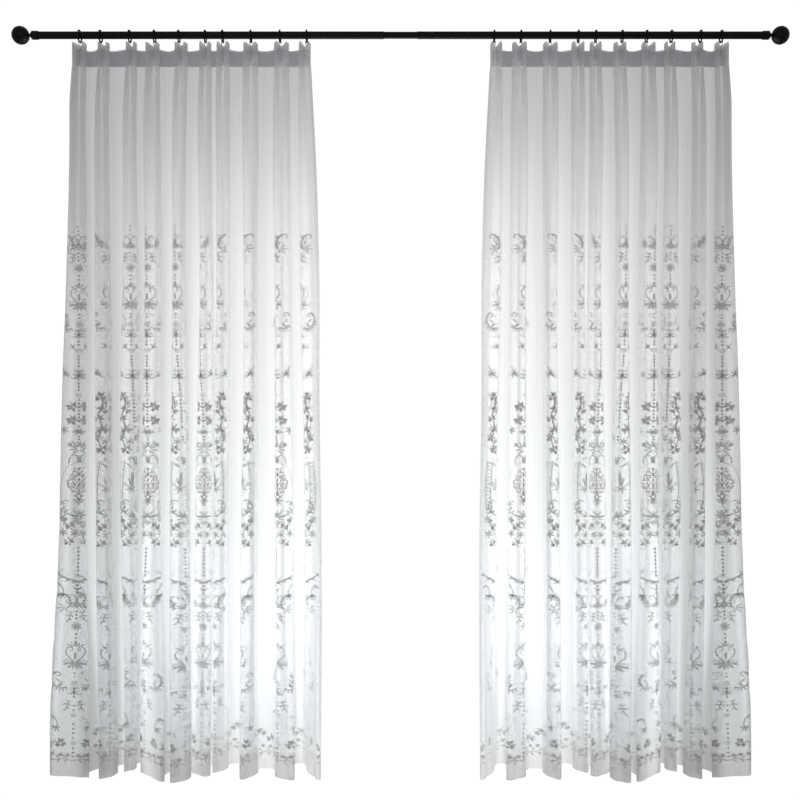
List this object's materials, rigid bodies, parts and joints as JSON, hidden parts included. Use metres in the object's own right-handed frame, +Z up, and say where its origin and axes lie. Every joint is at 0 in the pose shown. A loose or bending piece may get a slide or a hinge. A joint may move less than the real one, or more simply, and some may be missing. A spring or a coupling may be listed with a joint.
{
  "type": "sheer curtain pair with rod",
  "caption": "Pair of pinch-pleated sheer voile curtain panels hanging by rings and pleat hooks from a telescoping black rod with ball finials.",
  "frame": {"origin": "middle of the rod, on its axis, where the wall brackets carry it", "axes": "+X along the rod, -Y towards the room, +Z up"},
  "size_m": [2.642, 0.1902, 2.5412],
  "materials": {
    "voile": "sheer white voile with white embroidery",
    "tape": "dense woven white heading tape",
    "rod": "satin black coat on steel",
    "ring": "satin black coat on steel wire",
    "hook": "black coated spring wire"
  },
  "bodies": {
    "root": {"voile_panel_left": "voile", "voile_panel_right": "voile", "heading_tape_left": "tape", "heading_tape_right": "tape", "rod_tube_left": "rod", "rod_tube_right": "rod", "rod_inner_tube": "rod", "finial_left": "rod", "finial_right": "rod", "ring_left_1": "ring", "ring_left_2": "ring", "ring_left_3": "ring", "ring_left_4": "ring", "ring_left_5": "ring", "ring_left_6": "ring", "ring_left_7": "ring", "ring_left_8": "ring", "ring_left_9": "ring", "ring_left_10": "ring", "ring_right_1": "ring", "ring_right_2": "ring", "ring_right_3": "ring", "ring_right_4": "ring", "ring_right_5": "ring", "ring_right_6": "ring", "ring_right_7": "ring", "ring_right_8": "ring", "ring_right_9": "ring", "ring_right_10": "ring", "hook_left_1": "hook", "hook_left_2": "hook", "hook_left_3": "hook", "hook_left_4": "hook", "hook_left_5": "hook", "hook_left_6": "hook", "hook_left_7": "hook", "hook_left_8": "hook", "hook_left_9": "hook", "hook_left_10": "hook", "hook_right_1": "hook", "hook_right_2": "hook", "hook_right_3": "hook", "hook_right_4": "hook", "hook_right_5": "hook", "hook_right_6": "hook", "hook_right_7": "hook", "hook_right_8": "hook", "hook_right_9": "hook", "hook_right_10": "hook"}
  },
  "joints": []
}
